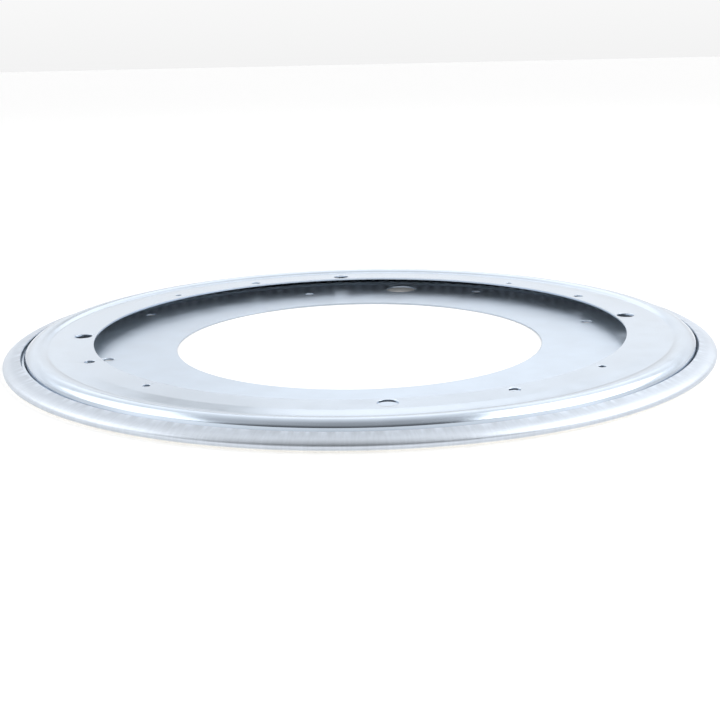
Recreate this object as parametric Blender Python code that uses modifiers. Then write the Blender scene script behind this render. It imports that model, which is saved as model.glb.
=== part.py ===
"""Pressed-steel turntable bearing: two zinc-plated rings running on one full row of balls.

The base ring lies flat, and its rim is rolled up and hemmed over the flange of the top ring,
so the two can't part. The origin is at the centre of the underside, and +Z is the spin axis.
"""

import math

import bpy

# Driving dimensions, in metres and degrees.
SHEET = 0.00075
OUTER_RADIUS = 0.1524
HEIGHT = 0.00794
RING_SEGMENTS = 72

BASE_HOLE_RADIUS = 0.0802
RIM_BEND_RADIUS = 0.0019
HEM_SLOPE = 13.8
HEM_EDGE_RADIUS = 0.1451
RIM_BEND_STEPS = 4
TRACK_RIDGE_OUTER = 0.1344
TRACK_RIDGE_WIDTH = 0.0042
TRACK_RIDGE_HEIGHT = 0.0010
TRACK_RIDGE_FOOT = 0.0012

TOP_INNER_RADIUS = 0.1154
FLAT_HEIGHT = 0.00715
FLAT_OUTER_RADIUS = 0.1270
VALLEY_RADIUS = 0.1342
VALLEY_DEPTH = 0.0003
SHOULDER_RADIUS = 0.1432
SHOULDER_HEIGHT = 0.0059
SHOULDER_BEND_RADIUS = 0.0005
DOME_STEPS = 4
BEND_STEPS = 2
WALL_SLOPE = 80.0
WALL_FOOT_HEIGHT = 0.00455
FLANGE_BEND_RADIUS = 0.0006
FLANGE_SLOPE = 12.0
FLANGE_RADIUS = 0.1483

BALL_DIAMETER = 0.0063
BALL_CIRCLE_RADIUS = 0.1386
BALLS_IN_ROW = 136
BALLS_PER_NODE = 4

SCREW_CIRCLE_RADIUS = 0.12065
TOP_HOLE_PHASE = 4.4
TOP_HOLE_DIAMETERS = {0.0: 0.0075, 22.5: 0.0042, 45.0: 0.0028}
BASE_HOLE_PHASE = 13.8
BASE_INNER_CIRCLE_RADIUS = 0.1095
BASE_INNER_HOLE_DIAMETER = 0.0044
BASE_OUTER_HOLE_DIAMETER = 0.0048
ACCESS_HOLE_RADIUS = 0.1174
ACCESS_HOLE_ANGLE = 78.7
ACCESS_HOLE_DIAMETER = 0.0159
CUTTER_HEIGHT = 0.030


def clear_scene():
    for obj in list(bpy.data.objects):
        bpy.data.objects.remove(obj)


def new_collection(name):
    collection = bpy.data.collections.new(name)
    bpy.context.scene.collection.children.link(collection)
    return collection


def metal(name, color, roughness):
    material = bpy.data.materials.new(name)
    material.use_nodes = True
    shader = material.node_tree.nodes["Principled BSDF"]
    shader.inputs["Base Color"].default_value = (*color, 1.0)
    shader.inputs["Metallic"].default_value = 1.0
    shader.inputs["Roughness"].default_value = roughness
    return material


def arc(center, radius, start, end, steps):
    """Points (radius, height) along an arc of a profile, with angles in degrees."""
    points = []
    for step in range(steps + 1):
        angle = math.radians(start + (end - start) * step / steps)
        points.append((center[0] + radius * math.cos(angle), center[1] + radius * math.sin(angle)))
    return points


def crown(rise, run):
    """Radius of the arc that climbs by rise over run to a level crest, and its angle at the foot."""
    radius = (run**2 + rise**2) / (2.0 * rise)
    return radius, math.degrees(math.asin(run / radius))


def on_circle(radius, degrees):
    angle = math.radians(degrees)
    return radius * math.cos(angle), radius * math.sin(angle)


def base_profile():
    """The base ring's outer face: hem edge, rolled rim, underside, track ridge, centre hole."""
    bend_center = (OUTER_RADIUS - RIM_BEND_RADIUS, RIM_BEND_RADIUS)
    rim = arc(bend_center, RIM_BEND_RADIUS, 90.0 - HEM_SLOPE, 0.0, RIM_BEND_STEPS - 1)
    rim += arc(bend_center, RIM_BEND_RADIUS, 0.0, -90.0, RIM_BEND_STEPS)[1:]
    hem_rise = (rim[0][0] - HEM_EDGE_RADIUS) * math.tan(math.radians(HEM_SLOPE))
    hem_edge = (HEM_EDGE_RADIUS, rim[0][1] + hem_rise)
    ridge_inner = TRACK_RIDGE_OUTER - TRACK_RIDGE_WIDTH
    ridge = [
        (TRACK_RIDGE_OUTER, 0.0),
        (TRACK_RIDGE_OUTER - TRACK_RIDGE_FOOT, TRACK_RIDGE_HEIGHT),
        (ridge_inner + TRACK_RIDGE_FOOT, TRACK_RIDGE_HEIGHT),
        (ridge_inner, 0.0),
    ]
    return [hem_edge, *rim, *ridge, (BASE_HOLE_RADIUS, 0.0)]


def top_profile():
    """The top ring's upper face: inner edge, flat, valley, ball dome, drop wall, flange."""
    valley_height = FLAT_HEIGHT - VALLEY_DEPTH
    radius, turn = crown(HEIGHT - valley_height, BALL_CIRCLE_RADIUS - VALLEY_RADIUS)
    dome = arc((BALL_CIRCLE_RADIUS, HEIGHT - radius), radius, 90.0 + turn, 90.0, DOME_STEPS)
    radius, turn = crown(HEIGHT - SHOULDER_HEIGHT, SHOULDER_RADIUS - BALL_CIRCLE_RADIUS)
    dome += arc((BALL_CIRCLE_RADIUS, HEIGHT - radius), radius, 90.0, 90.0 - turn, DOME_STEPS)[1:]

    bend_x, bend_y = on_circle(SHOULDER_BEND_RADIUS, 90.0 - turn)
    bend_center = (SHOULDER_RADIUS - bend_x, SHOULDER_HEIGHT - bend_y)
    shoulder = arc(bend_center, SHOULDER_BEND_RADIUS, 90.0 - turn, 90.0 - WALL_SLOPE, BEND_STEPS)[1:]

    wall_top = shoulder[-1]
    wall_run = (wall_top[1] - WALL_FOOT_HEIGHT) / math.tan(math.radians(WALL_SLOPE))
    bend_x, bend_y = on_circle(FLANGE_BEND_RADIUS, 90.0 - WALL_SLOPE)
    foot_center = (wall_top[0] + wall_run + bend_x, WALL_FOOT_HEIGHT + bend_y)
    foot = arc(foot_center, FLANGE_BEND_RADIUS, 270.0 - WALL_SLOPE, 270.0 - FLANGE_SLOPE, BEND_STEPS)

    flange_drop = (FLANGE_RADIUS - foot[-1][0]) * math.tan(math.radians(FLANGE_SLOPE))
    flange_edge = (FLANGE_RADIUS, foot[-1][1] - flange_drop)
    inner_edge = (TOP_INNER_RADIUS, FLAT_HEIGHT)
    return [inner_edge, (FLAT_OUTER_RADIUS, FLAT_HEIGHT), *dome, *shoulder, *foot, flange_edge]


def turned_sheet(name, profile, collection, material):
    """A ring of sheet metal: the open profile is spun round +Z and given the sheet's thickness."""
    mesh = bpy.data.meshes.new(name)
    edges = [(index, index + 1) for index in range(len(profile) - 1)]
    mesh.from_pydata([(radius, 0.0, height) for radius, height in profile], edges, [])
    mesh.materials.append(material)
    ring = bpy.data.objects.new(name, mesh)
    collection.objects.link(ring)
    spin = ring.modifiers.new("spin", "SCREW")
    spin.axis = "Z"
    spin.angle = 2.0 * math.pi
    spin.steps = RING_SEGMENTS
    spin.render_steps = RING_SEGMENTS
    spin.merge_threshold = 0.00001
    wall = ring.modifiers.new("sheet", "SOLIDIFY")
    wall.thickness = SHEET
    wall.offset = -1.0
    wall.use_even_offset = True
    return ring


def hole_cutter(name, radius_on_ring, degrees, diameter, sides, collection):
    """An upright cylinder through the sheet, kept out of the render."""
    x, y = on_circle(radius_on_ring, degrees)
    bpy.ops.mesh.primitive_cylinder_add(
        vertices=sides, radius=diameter / 2.0, depth=CUTTER_HEIGHT, location=(x, y, 0.0)
    )
    cutter = bpy.context.object
    cutter.name = name
    cutter.hide_render = True
    cutter.display_type = "WIRE"
    for owner in list(cutter.users_collection):
        owner.objects.unlink(cutter)
    collection.objects.link(cutter)
    return cutter


def punch(ring, cutters):
    """Cuts the holes, keeps the result as the ring's own mesh and shades it smooth."""
    for cutter in cutters:
        hole = ring.modifiers.new(cutter.name, "BOOLEAN")
        hole.operation = "DIFFERENCE"
        hole.solver = "EXACT"
        hole.object = cutter
    graph = bpy.context.evaluated_depsgraph_get()
    mesh = bpy.data.meshes.new_from_object(ring.evaluated_get(graph))
    ring.modifiers.clear()
    ring.data = mesh
    mesh.shade_smooth()
    mesh.set_sharp_from_angle(angle=math.radians(35.0))


def build_base_ring(parts, cutters):
    ring = turned_sheet("base_ring", base_profile(), parts, metal("zinc_base", (0.72, 0.76, 0.80), 0.30))
    holes = []
    for quarter in range(4):
        turn = BASE_HOLE_PHASE + 90.0 * quarter
        holes.append(hole_cutter(
            f"base_inner_hole_{quarter + 1}", BASE_INNER_CIRCLE_RADIUS, turn,
            BASE_INNER_HOLE_DIAMETER, 16, cutters))
        holes.append(hole_cutter(
            f"base_outer_hole_{quarter + 1}", SCREW_CIRCLE_RADIUS, turn + 45.0,
            BASE_OUTER_HOLE_DIAMETER, 16, cutters))
    holes.append(hole_cutter(
        "access_hole", ACCESS_HOLE_RADIUS, ACCESS_HOLE_ANGLE, ACCESS_HOLE_DIAMETER, 32, cutters))
    punch(ring, holes)


def build_top_ring(parts, cutters):
    ring = turned_sheet("top_ring", top_profile(), parts, metal("zinc_top", (0.74, 0.78, 0.82), 0.28))
    holes = []
    for quarter in range(4):
        for step, diameter in TOP_HOLE_DIAMETERS.items():
            turn = TOP_HOLE_PHASE + 90.0 * quarter + step
            sides = 20 if diameter > 0.006 else 14
            holes.append(hole_cutter(
                f"top_hole_{quarter + 1}_{step:.0f}", SCREW_CIRCLE_RADIUS, turn, diameter, sides, cutters))
    punch(ring, holes)


def build_balls(parts):
    """Every fourth ball of the full row, on an empty that stands on the spin axis."""
    axis = bpy.data.objects.new("ball_row_axis", None)
    parts.objects.link(axis)
    steel = metal("ball_steel", (0.60, 0.62, 0.64), 0.12)
    bpy.ops.mesh.primitive_ico_sphere_add(subdivisions=2, radius=BALL_DIAMETER / 2.0)
    first = bpy.context.object
    mesh = first.data
    bpy.data.objects.remove(first)
    mesh.materials.append(steel)
    mesh.shade_smooth()
    height = SHEET + (HEIGHT - 2.0 * SHEET) / 2.0
    for index in range(BALLS_IN_ROW // BALLS_PER_NODE):
        x, y = on_circle(BALL_CIRCLE_RADIUS, 360.0 * index * BALLS_PER_NODE / BALLS_IN_ROW)
        ball = bpy.data.objects.new(f"ball_{index + 1:02d}", mesh)
        ball.location = (x, y, height)
        ball.parent = axis
        parts.objects.link(ball)


clear_scene()
parts_collection = new_collection("turntable_bearing")
cutter_collection = new_collection("cutters")
cutter_collection.hide_render = True
build_base_ring(parts_collection, cutter_collection)
build_top_ring(parts_collection, cutter_collection)
build_balls(parts_collection)
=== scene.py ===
"""Looks of a pressed-steel turntable bearing: two zinc-plated rings running on one row of balls."""

import math

import bmesh
import bpy
from mathutils import Matrix, Vector, noise


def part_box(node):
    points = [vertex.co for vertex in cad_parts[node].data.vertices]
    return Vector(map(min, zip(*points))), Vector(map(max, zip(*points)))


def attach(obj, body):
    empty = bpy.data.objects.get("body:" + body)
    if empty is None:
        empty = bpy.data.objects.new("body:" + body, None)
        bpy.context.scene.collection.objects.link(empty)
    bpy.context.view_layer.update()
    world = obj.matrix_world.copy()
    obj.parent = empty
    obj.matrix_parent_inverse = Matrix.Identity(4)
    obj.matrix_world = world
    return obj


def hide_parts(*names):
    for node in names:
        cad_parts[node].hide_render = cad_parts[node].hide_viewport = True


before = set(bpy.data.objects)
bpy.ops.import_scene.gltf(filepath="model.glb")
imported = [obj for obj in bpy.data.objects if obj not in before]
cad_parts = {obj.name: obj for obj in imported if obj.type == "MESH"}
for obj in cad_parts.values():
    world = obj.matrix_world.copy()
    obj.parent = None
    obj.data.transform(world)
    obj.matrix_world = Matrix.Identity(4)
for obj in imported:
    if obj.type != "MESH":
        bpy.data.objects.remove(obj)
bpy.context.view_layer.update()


# Base ring. Steel sheet of 0.75 mm, blanked and drawn flat, zinc plated, with its rim rolled up into a
# bead and hemmed back over the top ring's flange, which is what holds the bearing together.
MM = 0.001
SHEET = 0.75 * MM
SPIN_STEPS = 480

RIM_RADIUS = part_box("base_ring")[1].x
RIM_BEND = 1.9 * MM
HEM_SLOPE = math.radians(13.8)
HEM_EDGE = 145.1 * MM
ROLL_START = 149.0 * MM
HEM_WAVE = 0.03 * MM
HEM_WAVE_PITCH = 4.9 * MM
WAVE_CELLS = 1.9
CENTRE_HOLE = 80.2 * MM
RIDGE_OUTER = 134.4 * MM
RIDGE_WIDTH = 4.2 * MM
RIDGE_HEIGHT = 1.0 * MM
RIDGE_FOOT = 1.2 * MM
EDGE_ROUND = 0.22 * MM
PUNCH_LIP = 0.18 * MM
PUNCH_REACH = 20 * MM
BASE_INNER_SCREWS = (109.5 * MM, 13.8, 4.4 * MM)
BASE_OUTER_SCREWS = (120.65 * MM, 58.8, 4.8 * MM)
ACCESS_HOLE = (117.4 * MM, 78.7, 15.9 * MM)


def arc(centre, radius, start, end, steps):
    """Points (radius, height) along an arc of a profile, from one angle to another, in radians."""
    angles = [start + (end - start) * step / steps for step in range(steps + 1)]
    return [(centre[0] + radius * math.cos(a), centre[1] + radius * math.sin(a)) for a in angles]


def line(start, end, steps):
    """Points after start, up to and with end."""
    return [
        (start[0] + (end[0] - start[0]) * step / steps, start[1] + (end[1] - start[1]) * step / steps)
        for step in range(1, steps + 1)
    ]


def quadratic(start, at, end, share):
    """A point of the curve that leaves start towards a corner and arrives at end from it."""
    left = 1 - share
    point = Vector(start) * left**2 + Vector(at) * 2 * share * left + Vector(end) * share**2
    return point.x, point.y


def spun_sheet(name, profile):
    """A ring of sheet metal's outer face: its profile turned round the axis."""
    mesh = bpy.data.meshes.new(name)
    sheet = bmesh.new()
    points = [sheet.verts.new((radius, 0.0, height)) for radius, height in profile]
    edges = [sheet.edges.new(pair) for pair in zip(points, points[1:])]
    bmesh.ops.spin(
        sheet, geom=points + edges, cent=(0, 0, 0), axis=(0, 0, 1), angle=math.tau,
        steps=SPIN_STEPS, use_merge=True)
    bmesh.ops.recalc_face_normals(sheet, faces=sheet.faces)
    sheet.to_mesh(mesh)
    sheet.free()
    ring = bpy.data.objects.new(name, mesh)
    bpy.context.scene.collection.objects.link(ring)
    return ring


def faces_up(ring, radius_low, radius_high):
    """Whether the sheet's faces between two radii point up."""
    total = 0.0
    for face in ring.data.polygons:
        if radius_low < math.hypot(face.center.x, face.center.y) < radius_high:
            total += face.normal.z
    return total > 0


def give_wall(ring):
    """Sheet thickness behind the outer face, and a small round on the cut edges."""
    wall = ring.modifiers.new("wall", "SOLIDIFY")
    wall.thickness = SHEET
    wall.offset = -1.0
    wall.use_even_offset = True
    rounding = ring.modifiers.new("edge_round", "BEVEL")
    rounding.width = EDGE_ROUND
    rounding.segments = 2
    rounding.limit_method = "ANGLE"
    rounding.angle_limit = math.radians(60)


def punched(ring, holes, top):
    """Cuts round holes with a rolled-in upper edge. Each hole is (radius on ring, angle, diameter)."""
    tool = bmesh.new()
    for ring_radius, degrees, diameter in holes:
        turn = math.radians(degrees)
        centre = Vector((ring_radius * math.cos(turn), ring_radius * math.sin(turn), 0.0))
        radius = diameter / 2.0
        outline = [(radius, -PUNCH_REACH), (radius, top - PUNCH_LIP)]
        for step in (22.5, 45.0, 67.5):
            roll = math.radians(step)
            outline.append((radius + PUNCH_LIP - PUNCH_LIP * math.cos(roll),
                            top - PUNCH_LIP + PUNCH_LIP * math.sin(roll)))
        outline += [(radius + PUNCH_LIP * 1.6, top + 0.03 * MM), (radius + PUNCH_LIP * 1.6, PUNCH_REACH)]
        start = tool.verts.new((0.0, 0.0, -PUNCH_REACH))
        points = [tool.verts.new((r, 0.0, z)) for r, z in outline]
        end = tool.verts.new((0.0, 0.0, PUNCH_REACH))
        chain = [start, *points, end]
        edges = [tool.edges.new(pair) for pair in zip(chain, chain[1:])]
        bmesh.ops.spin(
            tool, geom=chain + edges, cent=(0, 0, 0), axis=(0, 0, 1), angle=math.tau, steps=48,
            use_merge=True)
        bmesh.ops.remove_doubles(tool, verts=[v for v in tool.verts if not v.tag], dist=0.001 * MM)
        bmesh.ops.translate(tool, verts=[v for v in tool.verts if not v.tag], vec=centre)
        for v in tool.verts:
            v.tag = True
    bmesh.ops.recalc_face_normals(tool, faces=tool.faces)
    mesh = bpy.data.meshes.new("punches")
    tool.to_mesh(mesh)
    tool.free()
    cutter = bpy.data.objects.new("punches", mesh)
    bpy.context.scene.collection.objects.link(cutter)
    cut = ring.modifiers.new("holes", "BOOLEAN")
    cut.operation = "DIFFERENCE"
    cut.solver = "EXACT"
    cut.object = cutter
    finished = bpy.data.meshes.new_from_object(ring.evaluated_get(bpy.context.evaluated_depsgraph_get()))
    ring.modifiers.clear()
    ring.data = finished
    finished.name = ring.name
    bpy.data.objects.remove(cutter)
    finished.shade_smooth()
    finished.set_sharp_from_angle(angle=math.radians(21))


def colour(code):
    """An sRGB hex value as linear RGBA."""
    parts = [int(code[start:start + 2], 16) / 255 for start in (0, 2, 4)]
    return [part / 12.92 if part <= 0.04045 else ((part + 0.055) / 1.055) ** 2.4 for part in parts] + [1.0]


def node(tree, kind, *inputs, **settings):
    """Adds a node. Inputs come in the node's own order, as values, or as sockets or nodes to link from.
    A setting names a property or, if there is none, an input. A node links by its first output in use."""
    made = tree.nodes.new("ShaderNode" + kind)
    for name in [name for name in settings if hasattr(made, name)]:
        setattr(made, name, settings.pop(name))
    filled = list(zip([slot for slot in made.inputs if slot.enabled], inputs))
    filled += [(made.inputs[name.replace("_", " ")], value) for name, value in settings.items()]
    for slot, value in filled:
        if isinstance(value, bpy.types.Node):
            value = next(output for output in value.outputs if output.enabled)
        if isinstance(value, bpy.types.NodeSocket):
            tree.links.new(value, slot)
        else:
            slot.default_value = value
    return made


def zinc_plated(name, tint, gloss, grained, hem):
    """Bright zinc over rolled steel: clouded gloss, a faint ripple and, where hemmed, matte streaks."""
    material = bpy.data.materials.new(name)
    material.use_nodes = True
    tree = material.node_tree
    tree.nodes.clear()
    place = node(tree, "TexCoord").outputs["Object"]
    axes = node(tree, "SeparateXYZ", place)
    level = node(tree, "CombineXYZ", axes.outputs["X"], axes.outputs["Y"])
    radius = node(tree, "VectorMath", level, operation="LENGTH")
    around = node(tree, "VectorMath", level, operation="NORMALIZE")

    # Clouds 12 mm across: the plating's passivation film, seen as slight changes of gloss and tint.
    clouds = node(tree, "TexNoise", place, 1 / (12 * MM), 3.0)
    # Spangle 1.6 mm across: the grain of the plating, which breaks up a reflection's edge.
    grain = node(tree, "TexNoise", place, 1 / (1.6 * MM), 2.0)
    # Ripple 30 mm across: blanked sheet is never quite flat, so straight reflections wander.
    ripple = node(tree, "TexNoise", place, 1 / (30 * MM), 1.0)
    gloss_now = node(tree, "Math", clouds, 0.08, gloss - 0.04, operation="MULTIPLY_ADD")
    height = node(tree, "Math", ripple, 0.06 * MM, operation="MULTIPLY")
    height = node(tree, "Math", grain, grained * MM, height, operation="MULTIPLY_ADD")
    shade = node(tree, "MapRange", clouds, 0.3, 0.7, 0.965, 1.035)
    plating = colour(tint)

    if hem:
        past_edge = node(tree, "MapRange", radius, 144.8 * MM, 145.0 * MM, 0.0, 1.0)
        raised = node(tree, "MapRange", axes.outputs["Z"], 0.2 * MM, 0.8 * MM, 0.0, 1.0)
        on_hem = node(tree, "Math", past_edge, raised, operation="MULTIPLY")
        # Streaks 0.8 mm apart that run out from the hem's edge: the sheet was stretched over the tool there.
        turned = node(tree, "VectorMath", around, HEM_EDGE / (0.8 * MM), operation="SCALE")
        outward = node(tree, "Math", radius, 1 / (5 * MM), operation="MULTIPLY")
        spot = node(tree, "VectorMath", turned, node(tree, "CombineXYZ", 0.0, 0.0, outward), operation="ADD")
        streaks = node(tree, "TexNoise", spot, 1.0, 2.0)
        matte = node(tree, "MapRange", radius, 148.5 * MM, 150.5 * MM, 0.24, 0.10)
        gloss_now = node(tree, "Math", on_hem, matte, gloss_now, operation="MULTIPLY_ADD")
        streaked = node(tree, "Math", on_hem, streaks, operation="MULTIPLY")
        height = node(tree, "Math", streaked, 0.03 * MM, height, operation="MULTIPLY_ADD")
        shade = node(tree, "Math", on_hem, -0.03, shade, operation="MULTIPLY_ADD")
        shade = node(tree, "Math", streaked, 0.20, shade, operation="MULTIPLY_ADD")
        # Pale patches beside the hem's cut edge: painted highlights, where the hem's shallow dimples catch
        # the light.
        patch_place = node(tree, "VectorMath", around, HEM_EDGE / (2.6 * MM), operation="SCALE")
        patches = node(tree, "TexNoise", patch_place, 1.0, 0.0)
        patches = node(tree, "MapRange", patches, 0.42, 0.66, 0.0, 1.0)
        by_edge = node(tree, "MapRange", radius, 145.2 * MM, 148.8 * MM, 1.0, 0.0,
                       interpolation_type="SMOOTHSTEP")
        dimple_highlight = node(tree, "Math", on_hem, by_edge, operation="MULTIPLY")
        dimple_highlight = node(tree, "Math", dimple_highlight, patches, operation="MULTIPLY")
        shade = node(tree, "Math", dimple_highlight, 0.18, shade, operation="MULTIPLY_ADD")
        # The hem's inner half, beside the gap under the top ring's wall, is a shade darker: painted shade.
        inner = node(tree, "MapRange", radius, 146.5 * MM, 150.5 * MM, 1.0, 0.0)
        inner = node(tree, "Math", on_hem, inner, operation="MULTIPLY")
        shade = node(tree, "Math", inner, -0.11, shade, operation="MULTIPLY_ADD")
        # Stretched plating scatters more and looks less blue than the flat sheet.
        plating = node(tree, "Mix", on_hem, colour(tint), colour("BEC5CE"), data_type="RGBA")

    # Faces turned down are duller, less metallic and paler: the paler colour is painted fill light, which
    # brightens the shaded undersides, the top ring's over the balls most of all.
    facing = node(tree, "SeparateXYZ", node(tree, "NewGeometry").outputs["True Normal"])
    below = node(tree, "MapRange", facing.outputs["Z"], -0.3, -0.6, 0.0, 1.0)
    gloss_now = node(tree, "Math", below, 0.30, gloss_now, operation="MULTIPLY_ADD")
    bare = node(tree, "Math", below, -0.9, 1.0, operation="MULTIPLY_ADD")
    surface = node(tree, "Mix", below, plating, colour("F2F0EA"), data_type="RGBA")
    # The sheared edge of the centre hole shows bare steel, a little darker than the plating.
    sheared = node(tree, "MapRange", radius, 80.3 * MM, 80.45 * MM, 1.0, 0.0)
    shade = node(tree, "Math", sheared, -0.12, shade, operation="MULTIPLY_ADD")
    grey = node(tree, "CombineColor", shade, shade, shade)
    tinted = node(tree, "Mix", 1.0, surface, grey, data_type="RGBA", blend_type="MULTIPLY")
    bump = node(tree, "Bump", 1.0, 1.0, Height=height)
    shader = node(tree, "BsdfPrincipled", Metallic=bare, Base_Color=tinted, Roughness=gloss_now, Normal=bump)
    node(tree, "OutputMaterial", shader)
    return material


bend = (RIM_RADIUS - RIM_BEND, RIM_BEND)
bend_top = arc(bend, RIM_BEND, math.pi / 2 - HEM_SLOPE, 0.0, 1)[0]
hem_edge = (HEM_EDGE, bend_top[1] + (bend_top[0] - HEM_EDGE) * math.tan(HEM_SLOPE))
eased = (ROLL_START, hem_edge[1] - (ROLL_START - HEM_EDGE) * math.tan(HEM_SLOPE))
roll_corner = (RIM_RADIUS, hem_edge[1] - (RIM_RADIUS - HEM_EDGE) * math.tan(HEM_SLOPE))
rim = [quadratic(eased, roll_corner, (RIM_RADIUS, RIM_BEND), step / 14) for step in range(15)]
rim += arc(bend, RIM_BEND, 0.0, -math.pi / 2, 10)[1:]
ridge_inner = RIDGE_OUTER - RIDGE_WIDTH
ridge = [(RIDGE_OUTER, 0.0), (RIDGE_OUTER - RIDGE_FOOT, RIDGE_HEIGHT),
         (ridge_inner + RIDGE_FOOT, RIDGE_HEIGHT), (ridge_inner, 0.0)]
base_profile = [hem_edge, *line(hem_edge, rim[0], 8), *rim[1:], *line(rim[-1], ridge[0], 3), *ridge[1:],
                *line(ridge[-1], (CENTRE_HOLE, 0.0), 6)]
base_ring = spun_sheet("base_ring_plated", base_profile)
# Hemming leaves the turned edge slightly wavy.
for vertex in base_ring.data.vertices:
    radius = math.hypot(vertex.co.x, vertex.co.y)
    if vertex.co.z > RIM_BEND and radius < RIM_RADIUS - RIM_BEND:
        share = (RIM_RADIUS - RIM_BEND - radius) / (RIM_RADIUS - RIM_BEND - HEM_EDGE)
        spot = vertex.co.xy.normalized() * HEM_EDGE / HEM_WAVE_PITCH * WAVE_CELLS
        vertex.co.z += HEM_WAVE * share * noise.noise((spot.x, spot.y, 0.0))
if faces_up(base_ring, 100 * MM, 130 * MM):
    base_ring.data.flip_normals()
give_wall(base_ring)
base_holes = []
for circle, first, diameter in (BASE_INNER_SCREWS, BASE_OUTER_SCREWS):
    base_holes += [(circle, first + 90 * quarter, diameter) for quarter in range(4)]
punched(base_ring, [*base_holes, ACCESS_HOLE], SHEET)
base_ring.data.materials.append(zinc_plated("bright_zinc_base", "C0CCDA", 0.31, 0.0001, hem=True))
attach(base_ring, "base")
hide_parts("base_ring")


# Ball row. Hardened and polished steel balls, 1/4 in, in one full row without a cage. They roll in the
# groove under the top ring's dome.
BALLS = 136
BALLS_PER_CAD_NODE = 4
BALL_CIRCLE = 138.6 * MM
BALL_RADIUS = 3.15 * MM
ball_low, ball_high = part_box("ball_01")
BALL_HEIGHT = (ball_low.z + ball_high.z) / 2

# Lapped bearing steel: a dark, nearly mirror-like grey with no pattern of its own.
ball_steel = bpy.data.materials.new("polished_bearing_steel")
ball_steel.use_nodes = True
shader = ball_steel.node_tree.nodes["Principled BSDF"]
shader.inputs["Base Color"].default_value = colour("B4B7BB")
shader.inputs["Metallic"].default_value = 1.0
shader.inputs["Roughness"].default_value = 0.12
for index in range(BALLS):
    turn = math.tau * index / BALLS
    mesh = bpy.data.meshes.new(f"bearing_ball_{index + 1:03d}")
    ball = bmesh.new()
    bmesh.ops.create_icosphere(ball, subdivisions=2, radius=BALL_RADIUS)
    bmesh.ops.translate(
        ball, verts=ball.verts,
        vec=(BALL_CIRCLE * math.cos(turn), BALL_CIRCLE * math.sin(turn), BALL_HEIGHT))
    ball.to_mesh(mesh)
    ball.free()
    mesh.shade_smooth()
    mesh.materials.append(ball_steel)
    piece = bpy.data.objects.new(mesh.name, mesh)
    bpy.context.scene.collection.objects.link(piece)
    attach(piece, "ball_row")
    if index % BALLS_PER_CAD_NODE == 0:
        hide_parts(f"ball_{index // BALLS_PER_CAD_NODE + 1:02d}")


# Top ring. The same zinc-plated sheet, pressed with a raised dome over the balls, a drop wall and a
# flange that the base ring's hem holds down. Its flat takes the screws of whatever it carries.
TOP_INNER = 115.4 * MM
FLAT_HEIGHT = 7.15 * MM
FLAT_OUTER = 127.0 * MM
FLAT_BEND = 0.5 * MM
VALLEY = (134.2 * MM, 6.85 * MM)
VALLEY_BEND = 0.6 * MM
CREST = (138.6 * MM, 7.94 * MM)
SHOULDER = (143.2 * MM, 5.9 * MM)
SHOULDER_BEND = 0.35 * MM
WALL_SLOPE = math.radians(70)
WALL_FOOT = 4.4 * MM
FLANGE_BEND = 0.6 * MM
FLANGE_SLOPE = math.radians(12)
FLANGE_EDGE = 148.3 * MM
TOP_SCREW_CIRCLE = 120.65 * MM
FIRST_TOP_SCREW = 4.4
TOP_SCREWS = ((0.0, 7.5 * MM), (22.5, 4.2 * MM), (45.0, 2.8 * MM))
# The top ring floats on its balls, and rests a little off centre.
RUNNING_PLAY = Vector((0.4, -0.4, 0.0)) * MM


def corner(before, at, after, reach, steps):
    """A bend that starts and ends at that reach from a corner of the profile."""
    start = Vector(at) + (Vector(before) - Vector(at)).normalized() * reach
    end = Vector(at) + (Vector(after) - Vector(at)).normalized() * reach
    return [quadratic(start, at, end, step / steps) for step in range(steps + 1)]


def crown(foot, crest):
    """Radius of the arc that climbs from foot to a level crest, its centre, and the angle it turns."""
    rise, run = crest[1] - foot[1], abs(crest[0] - foot[0])
    radius = (run**2 + rise**2) / (2 * rise)
    return radius, (crest[0], crest[1] - radius), math.asin(run / radius)


dome_radius, dome_centre, turn = crown(VALLEY, CREST)
inner_half = arc(dome_centre, dome_radius, math.pi / 2 + turn, math.pi / 2, 12)[2:]
dome_radius, dome_centre, turn = crown(SHOULDER, CREST)
outer_half = arc(dome_centre, dome_radius, math.pi / 2, math.pi / 2 - turn, 14)[1:]
shoulder_turn = math.pi / 2 - turn
shoulder_centre = (SHOULDER[0] - SHOULDER_BEND * math.cos(shoulder_turn),
                   SHOULDER[1] - SHOULDER_BEND * math.sin(shoulder_turn))
shoulder = arc(shoulder_centre, SHOULDER_BEND, shoulder_turn, math.pi / 2 - WALL_SLOPE, 8)[1:]
wall_foot = shoulder[-1][0] + (shoulder[-1][1] - WALL_FOOT) / math.tan(WALL_SLOPE)
foot_centre = (wall_foot + FLANGE_BEND * math.sin(WALL_SLOPE), WALL_FOOT + FLANGE_BEND * math.cos(WALL_SLOPE))
foot = arc(foot_centre, FLANGE_BEND, 1.5 * math.pi - WALL_SLOPE, 1.5 * math.pi - FLANGE_SLOPE, 6)
flange = (FLANGE_EDGE, foot[-1][1] - (FLANGE_EDGE - foot[-1][0]) * math.tan(FLANGE_SLOPE))
flat_start = (TOP_INNER, FLAT_HEIGHT)
flat_end = (FLAT_OUTER, FLAT_HEIGHT)
flat_bend = corner(flat_start, flat_end, VALLEY, FLAT_BEND, 6)
valley_bend = corner(flat_end, VALLEY, inner_half[0], VALLEY_BEND, 6)
top_profile = [flat_start, *line(flat_start, flat_bend[0], 3), *flat_bend[1:],
               *line(flat_bend[-1], valley_bend[0], 3), *valley_bend[1:],
               *inner_half, *outer_half, *shoulder, *foot, *line(foot[-1], flange, 3)]
top_ring = spun_sheet("top_ring_plated", top_profile)
if not faces_up(top_ring, 116 * MM, 126 * MM):
    top_ring.data.flip_normals()
give_wall(top_ring)
for vertex in top_ring.data.vertices:
    vertex.co += RUNNING_PLAY
top_holes = []
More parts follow.
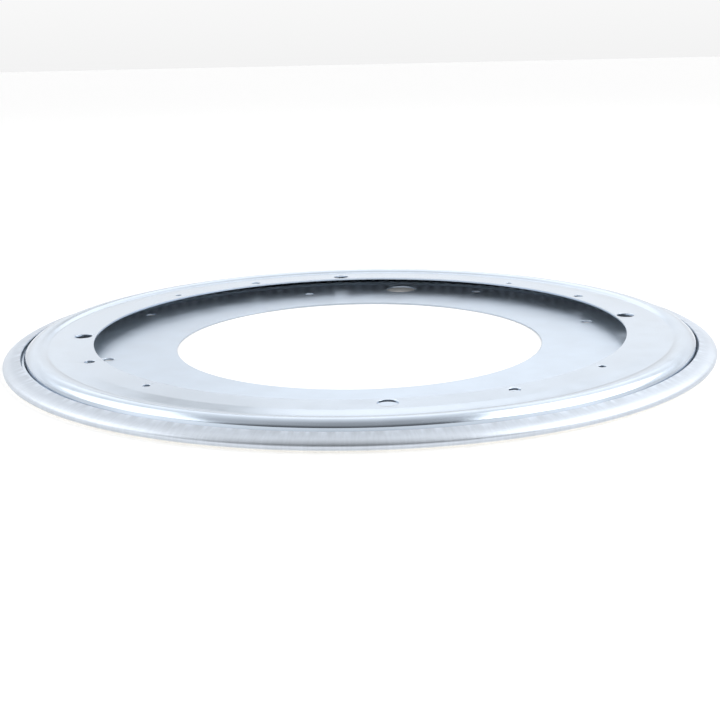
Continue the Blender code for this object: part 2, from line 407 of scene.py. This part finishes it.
for quarter in range(4):
    for step, diameter in TOP_SCREWS:
        top_holes.append((TOP_SCREW_CIRCLE, FIRST_TOP_SCREW + 90 * quarter + step, diameter))
punched(top_ring, top_holes, FLAT_HEIGHT)
top_ring.data.materials.append(zinc_plated("bright_zinc_top", "BDC8D5", 0.19, 0.0008, hem=False))
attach(top_ring, "turntable")
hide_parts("top_ring")


# Light table. A sheet of white acrylic, lit from below, that the bearing lies on. It glows round the bearing
# and inside its hole; under the base ring the glow is left out, which paints shade on the table that shows
# through the ring's holes.
TABLE_REACH = 40
floor_mesh = bpy.data.meshes.new("light_table")
floor = bmesh.new()
bmesh.ops.create_grid(floor, x_segments=1, y_segments=1, size=TABLE_REACH)
floor.to_mesh(floor_mesh)
floor.free()
floor_object = bpy.data.objects.new("light_table", floor_mesh)
bpy.context.scene.collection.objects.link(floor_object)
# Opal acrylic: an even, matte white that carries its light to the eye without a reflection.
acrylic = bpy.data.materials.new("white_acrylic")
acrylic.use_nodes = True
shader = acrylic.node_tree.nodes["Principled BSDF"]
shader.inputs["Base Color"].default_value = colour("D1D1D1")
shader.inputs["Roughness"].default_value = 0.9
shader.inputs["Emission Color"].default_value = (1, 1, 1, 1)
tree = acrylic.node_tree
distance = node(tree, "VectorMath", node(tree, "TexCoord").outputs["Object"], operation="LENGTH")
# No glow from 82 to 145 mm: painted shade under the base ring, seen through its screw and access holes.
inside = node(tree, "MapRange", distance, 79 * MM, 82 * MM, 0.45, 0.0)
outside = node(tree, "MapRange", distance, 145 * MM, 150 * MM, 0.0, 0.42)
glow = node(tree, "Math", inside, outside, operation="ADD")
tree.links.new(glow.outputs[0], shader.inputs["Emission Strength"])
floor_mesh.materials.append(acrylic)


# Studio. A bright backdrop behind, a dim room in front and two softboxes at the sides. Each list gives
# (sine of the elevation, brightness) from the horizon up to straight overhead.
BACKDROP = [(0.0, 0.90), (0.10, 0.98), (0.20, 1.22), (0.30, 1.30), (0.32, 0.82), (0.345, 0.82), (0.36, 1.82),
            (0.45, 1.72), (0.60, 1.48), (0.72, 1.22), (0.88, 0.92), (1.0, 0.50)]
ROOM = [(0.0, 1.45), (0.22, 1.60), (0.40, 1.10), (0.58, 0.38), (0.72, 0.12), (0.94, 0.13), (1.0, 0.50)]
SOFTBOX_DISTANCE = 1.5
world = bpy.data.worlds.new("studio")
world.use_nodes = True
tree = world.node_tree
tree.nodes.clear()
axes = node(tree, "SeparateXYZ", node(tree, "TexCoord").outputs["Generated"])
ramps = []
for stops in (BACKDROP, ROOM):
    ramp = node(tree, "ValToRGB", axes.outputs["Z"])
    elements = ramp.color_ramp.elements
    while len(elements) < len(stops):
        elements.new(0.5)
    for element, (sine, brightness) in zip(elements, stops):
        element.position = sine
        element.color = (brightness, brightness, brightness, 1.0)
    ramps.append(ramp)
towards_room = node(tree, "MapRange", axes.outputs["Y"], 0.0, -0.28, 0.0, 1.0,
                    interpolation_type="SMOOTHSTEP")
walls = node(tree, "Mix", towards_room, *ramps, data_type="RGBA")
backdrop_side = node(tree, "Math", axes.outputs["Y"], 0.0, operation="GREATER_THAN")
# A lamp stand against the backdrop, left of centre, shows as a grey smear on the top ring's cone.
across = node(tree, "Math", axes.outputs["X"], 0.165, operation="ADD")
across = node(tree, "Math", across, operation="ABSOLUTE")
along = node(tree, "Math", axes.outputs["Z"], 0.365, operation="SUBTRACT")
along = node(tree, "Math", along, operation="ABSOLUTE")
across = node(tree, "MapRange", across, 0.04, 0.10, 0.6, 0.0, interpolation_type="SMOOTHSTEP")
along = node(tree, "MapRange", along, 0.03, 0.06, 1.0, 0.0, interpolation_type="SMOOTHSTEP")
stand = node(tree, "Math", across, along, operation="MULTIPLY")
stand = node(tree, "Math", stand, backdrop_side, operation="MULTIPLY")
# The backdrop's bright panel is narrow, and the studio is dimmer to either side of it.
sides = node(tree, "MapRange", node(tree, "Math", axes.outputs["X"], operation="ABSOLUTE"),
             0.28, 0.55, 0.0, 0.32, interpolation_type="SMOOTHSTEP")
panel_height = node(tree, "MapRange", axes.outputs["Z"], 0.33, 0.42, 0.0, 1.0)
sides = node(tree, "Math", sides, panel_height, operation="MULTIPLY")
sides = node(tree, "Math", sides, backdrop_side, operation="MULTIPLY")
strength = node(tree, "Math", 1.0, stand, operation="SUBTRACT")
strength = node(tree, "Math", strength, sides, operation="SUBTRACT")
node(tree, "OutputWorld", node(tree, "Background", walls, strength))
bpy.context.scene.world = world
bpy.context.scene.view_settings.view_transform = "Standard"


def softbox(name, bearing, elevation, width, height, brightness):
    """A rectangle of light aimed at the ring. Bearing is from the front towards +X."""
    light = bpy.data.lights.new(name, "AREA")
    light.shape = "RECTANGLE"
    light.size = width
    light.size_y = height
    light.energy = brightness * math.pi * width * height
    lamp = bpy.data.objects.new(name, light)
    turn, rise = math.radians(bearing), math.radians(elevation)
    away = Vector((math.sin(turn) * math.cos(rise), -math.cos(turn) * math.cos(rise), math.sin(rise)))
    spot = away * SOFTBOX_DISTANCE
    lamp.matrix_world = Matrix.Translation(spot) @ spot.to_track_quat("Z", "Y").to_matrix().to_4x4()
    bpy.context.scene.collection.objects.link(lamp)


softbox("softbox_right", 100, 49, 1.5, 1.0, 2.3)
softbox("softbox_left", -102, 43, 1.2, 0.8, 1.5)


# Camera. It looks down on the bearing's near rim from half a metre away, turned a little on its axis.
CAMERA_PLACE = (0.0000826, -0.500018, 0.1208137)
CAMERA_PITCH = math.radians(90 - 14.52)
CAMERA_ROLL = math.radians(-1.26)
camera_data = bpy.data.cameras.new("camera")
camera_data.lens = 57.75
camera_data.sensor_width = 36
camera = bpy.data.objects.new("camera", camera_data)
camera.matrix_world = (Matrix.Translation(CAMERA_PLACE) @ Matrix.Rotation(CAMERA_PITCH, 4, "X")
                       @ Matrix.Rotation(CAMERA_ROLL, 4, "Z"))
bpy.context.scene.collection.objects.link(camera)
bpy.context.scene.camera = camera

bpy.context.view_layer.update()
